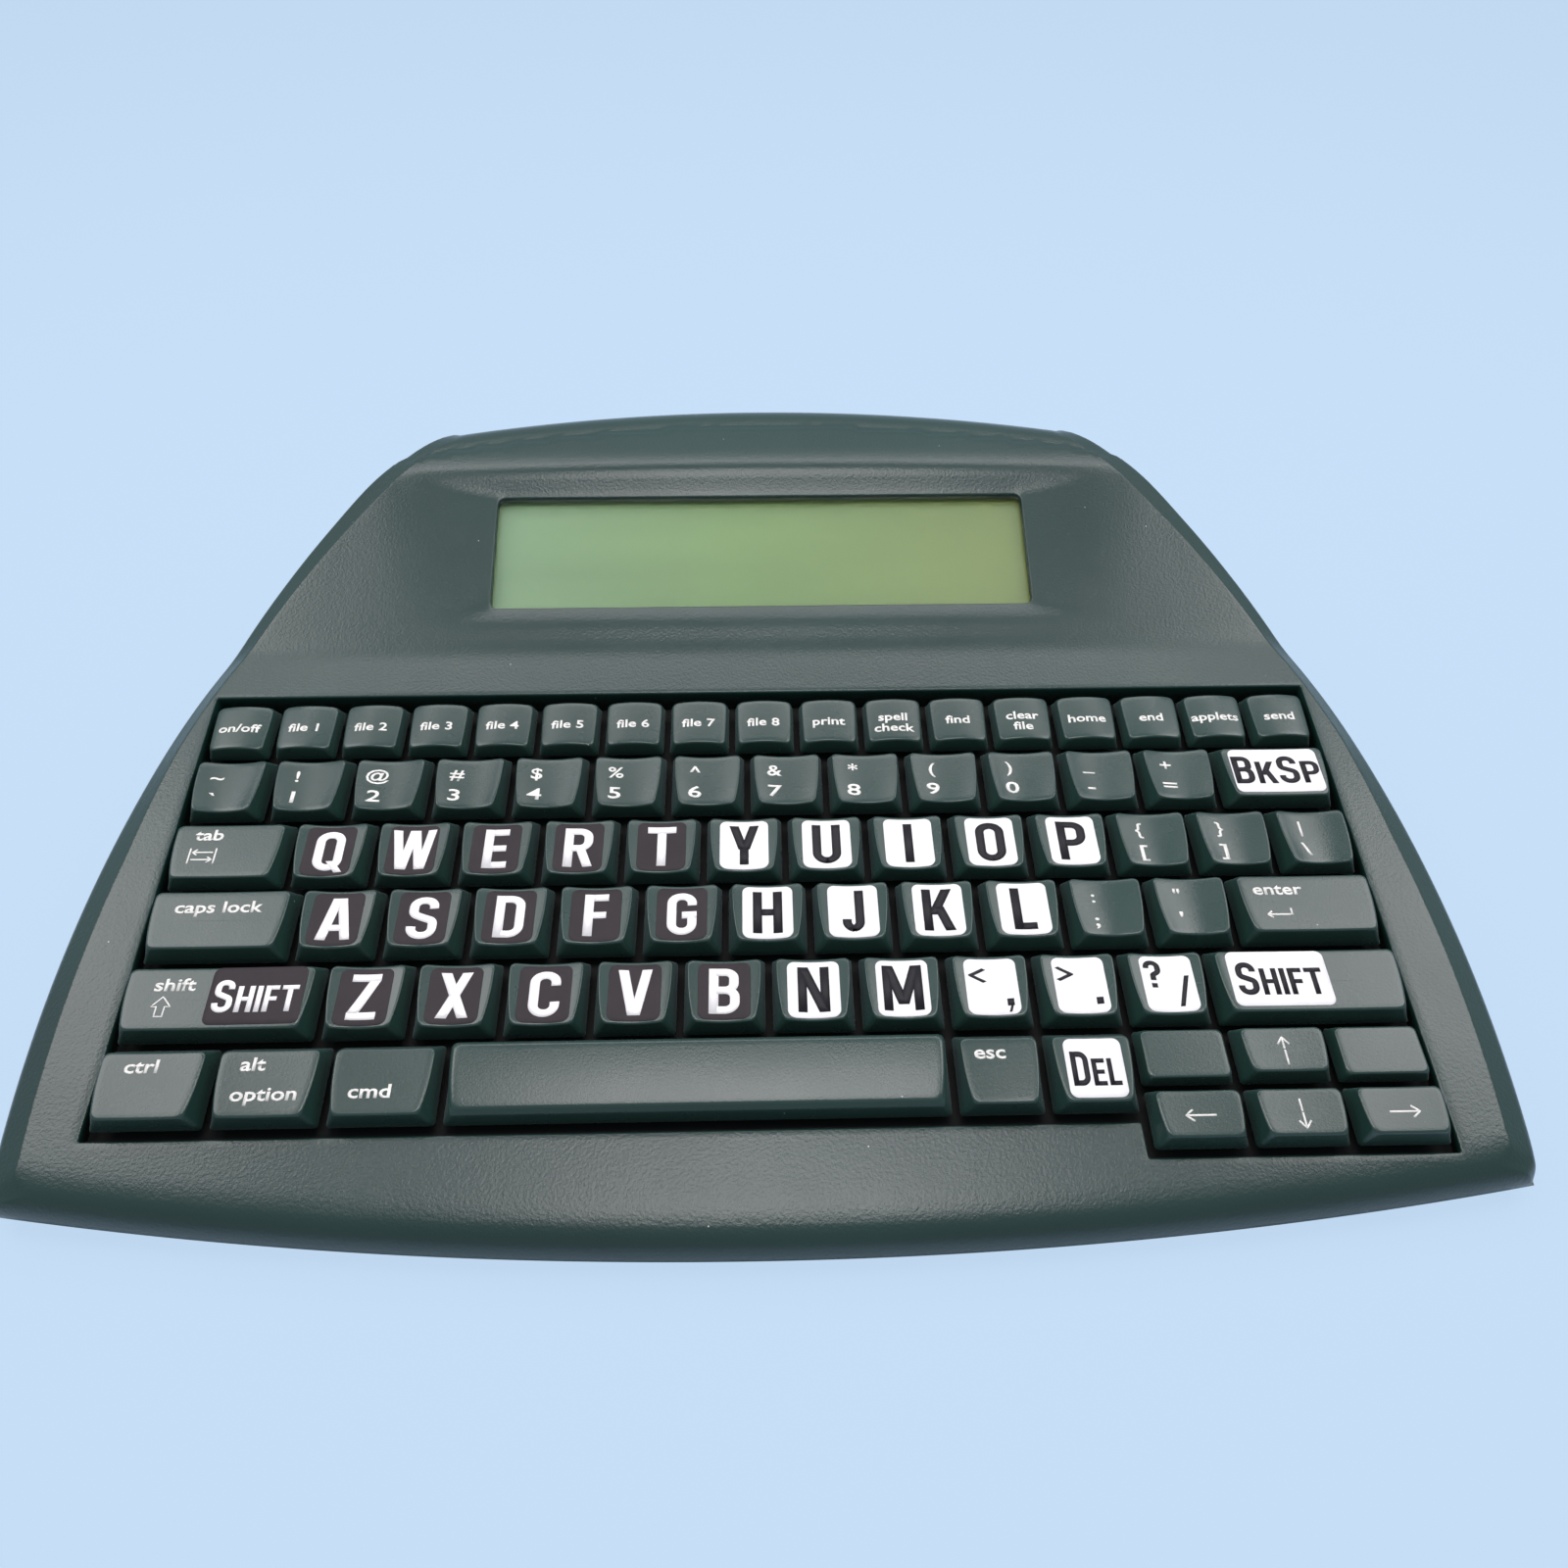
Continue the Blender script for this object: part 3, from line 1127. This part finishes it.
# %% Placing the legends
SIDE_MARKS = {"tab": [("tab", 8.7, 10.5)], "caps": [("caps lock", 15.4, 10.0)],
              "shift_left": [("shift", 11.2, 9.8)], "ctrl": [("ctrl", 9.4, 10.3)],
              "enter": [("enter", 9.3, 10.5)], "esc": [("esc", 6.7, 10.2)],
              "cmd": [("cmd", 9.2, 4.1)], "alt": [("alt", 7.8, 10.4), ("option", 11.4, 3.9)]}
for key in KEYS:
    if not key.mark:
        continue
    kind, value = key.mark
    if kind == "word":
        add_legend(key, value, key.mid - 0.2, key.y + (6.5 if "\n" in value else 5.4), 3.35)
    elif kind == "sign":
        upper, lower = value.split("\n")
        add_legend(key, upper, key.mid - 3.0, key.y + 9.0 + lean(key), 4.5, weight=0.014)
        add_legend(key, lower, key.mid - 3.0, key.y + 2.8 + lean(key), 4.7, 1.5, 0.014)
    elif kind == "arrow":
        add_arrow(key, key.mid - 0.3, key.y + key.d / 2 - 0.9, value, 6.2, 1.6, 0.4)
    for text, x, y in SIDE_MARKS.get(kind, ()):
        add_legend(key, text, key.x + x, key.y + y, 4.1)
    if kind == "tab":
        x, y = key.x + 8.2, key.y + 6.1
        add_arrow(key, x, y + 1.0, 180, 4.6, 1.0, 0.36)
        add_arrow(key, x, y - 1.0, 0, 4.6, 1.0, 0.36)
        for s in (-1, 1):
            add_line(key, [(x + s * 2.9, y - 2.1), (x + s * 2.9, y + 2.1)], 0.36)
    if kind == "enter":
        x, y = key.x + 8.6, key.y + 5.3
        add_arrow(key, x - 0.2, y, 180, 5.4, 1.1, 0.4)
        add_line(key, [(x + 2.6, y - 0.2), (x + 2.6, y + 1.6)], 0.4)
    if kind == "shift_left":
        add_line(key, [(key.x + 9.4 + x, key.y + 4.4 + y) for x, y in
                       ((-0.85, -0.6), (0.85, -0.6), (0.85, 1.7), (2.0, 1.7), (0, 4.0),
                        (-2.0, 1.7), (-0.85, 1.7))], 0.3, True)
for host, sk in legend_skins.items():
    shell_object(f"{host}_legends", sk, "legend_ink", host, False)

# %% [markdown]
# ## Feet
# Four rubber feet repeat one form, so a Geometry Nodes tree makes them from named sizes in
# metres: a pair near the front edge and a closer pair at the back.

# %% Rubber feet by Geometry Nodes
FEET = {"Front start": (-0.112, -0.09803, 0.0), "Front spacing": (0.224, 0.0, 0.0),
        "Back start": (-0.06, 0.10103, 0.0), "Back spacing": (0.12, 0.0, 0.0),
        "Top radius": 0.0055, "Sole radius": 0.0049, "Thickness": 0.0018}
tree = bpy.data.node_groups.new("rubber_feet_tree", "GeometryNodeTree")
tree.interface.new_socket("Geometry", in_out="OUTPUT", socket_type="NodeSocketGeometry")
for title, value in FEET.items():
    kind = "NodeSocketVector" if isinstance(value, tuple) else "NodeSocketFloat"
    tree.interface.new_socket(title, in_out="INPUT", socket_type=kind)
sizes = node(tree, "NodeGroupInput").outputs
join = node(tree, "GeometryNodeJoinGeometry")
for row in ("Front", "Back"):
    feed(join, in_0=node(tree, "GeometryNodeMeshLine", in_Count=2,
                         in_Start_Location=sizes[row + " start"],
                         in_Offset=sizes[row + " spacing"]))
foot = node(tree, "GeometryNodeMeshCone", in_Vertices=48, in_Radius_Top=sizes["Top radius"],
            in_Radius_Bottom=sizes["Sole radius"], in_Depth=sizes["Thickness"])
stood = node(tree, "GeometryNodeInstanceOnPoints", in_Points=join,
             in_Instance=foot)
real = node(tree, "GeometryNodeRealizeInstances", in_Geometry=stood)
rubber = node(tree, "GeometryNodeSetMaterial", in_Geometry=real,
              in_Material=paint["foot_rubber"])
node(tree, "NodeGroupOutput", in_0=rubber)
feet = in_scene("rubber_feet_made", bpy.data.meshes.new("rubber_feet_made"))
stand = feet.modifiers.new("feet", "NODES")
stand.node_group = tree
for item in tree.interface.items_tree:
    if item.in_out == "INPUT":
        stand[item.identifier] = FEET[item.name]
feet.data = plain_mesh(feet)
feet.modifiers.remove(stand)
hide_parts("rubber_feet")
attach(feet, "case")
print("feet:", len(feet.data.polygons), "faces", [round(v, 4) for v in feet.dimensions])

# %% [markdown]
# ## Floor and light
# A broad soft source above and behind lays a grey sheen on everything that lies flat,
# and leaves the sloped parts greener. The pale floor shows its own colour to the camera
# and still takes a soft shadow.

# %% Floor and world
BACKDROP = "#C5DDF5"
scene.view_settings.view_transform = "Standard"
world = bpy.data.worlds.new("studio")
scene.world = world
world.use_nodes = True
back = feed(world.node_tree.nodes["Background"], in_Color=(0.8, 0.86, 0.9, 1), in_Strength=0.45)
seen = node(world, "Background", in_Color=linear(BACKDROP))
path = node(world, "LightPath").outputs
mirrored = node(world, "Math", operation="MULTIPLY_ADD", in_0=path["Is Glossy Ray"],
                in_1=0.35, in_2=path["Is Camera Ray"])
through = node(world, "Math", operation="ADD", use_clamp=True,
               in_0=mirrored, in_1=path["Is Transmission Ray"])
choose = node(world, "MixShader", in_0=through, in_1=back,
              in_2=seen)
feed(world.node_tree.nodes["World Output"], in_Surface=choose)
floor_paper, paper = finish_named("floor_paper", in_Base_Color=linear(BACKDROP),
                                  in_Roughness=0.9, in_Specular_IOR_Level=0.0)
glow = node(floor_paper, "Emission", in_Color=linear(BACKDROP), in_Strength=1.0)
ray = node(floor_paper, "LightPath").outputs["Is Camera Ray"]
share = node(floor_paper, "Math", operation="MULTIPLY", in_0=ray, in_1=0.93)
mix = node(floor_paper, "MixShader", in_0=share, in_1=paper,
           in_2=glow)
feed(floor_paper.node_tree.nodes["Material Output"], in_Surface=mix)
mesh = bpy.data.meshes.new("floor")
mesh.from_pydata([(-3, -3, 0), (3, -3, 0), (3, 3, 0), (-3, 3, 0)], [], [(0, 1, 2, 3)])
mesh.materials.append(floor_paper)
in_scene("floor", mesh)
print("floor and world are", BACKDROP)


# %% Lamps
def lamp(name, place, size, power):
    data = bpy.data.lights.new(name, "AREA")
    data.shape = "RECTANGLE"
    data.size, data.size_y = size
    data.energy = power
    data.color = (1.0, 0.93, 0.95)
    obj = in_scene(name, data)
    obj.visible_camera = False
    obj.location = on_deck(*place)
    obj.rotation_euler = (on_deck(0, 0, 0) - obj.location).to_track_quat("-Z", "Y").to_euler()


lamp("overhead_softbox", (0, 10, 430), (0.28, 0.18), 0.95)
lamp("left_softbox", (-400, 160, 400), (0.28, 0.28), 1.15)
lamp("right_softbox", (400, 160, 400), (0.28, 0.28), 1.15)
lamp("back_softbox", (0, 440, 400), (0.75, 0.13), 1.35)
print("lamps:", len(bpy.data.lights))
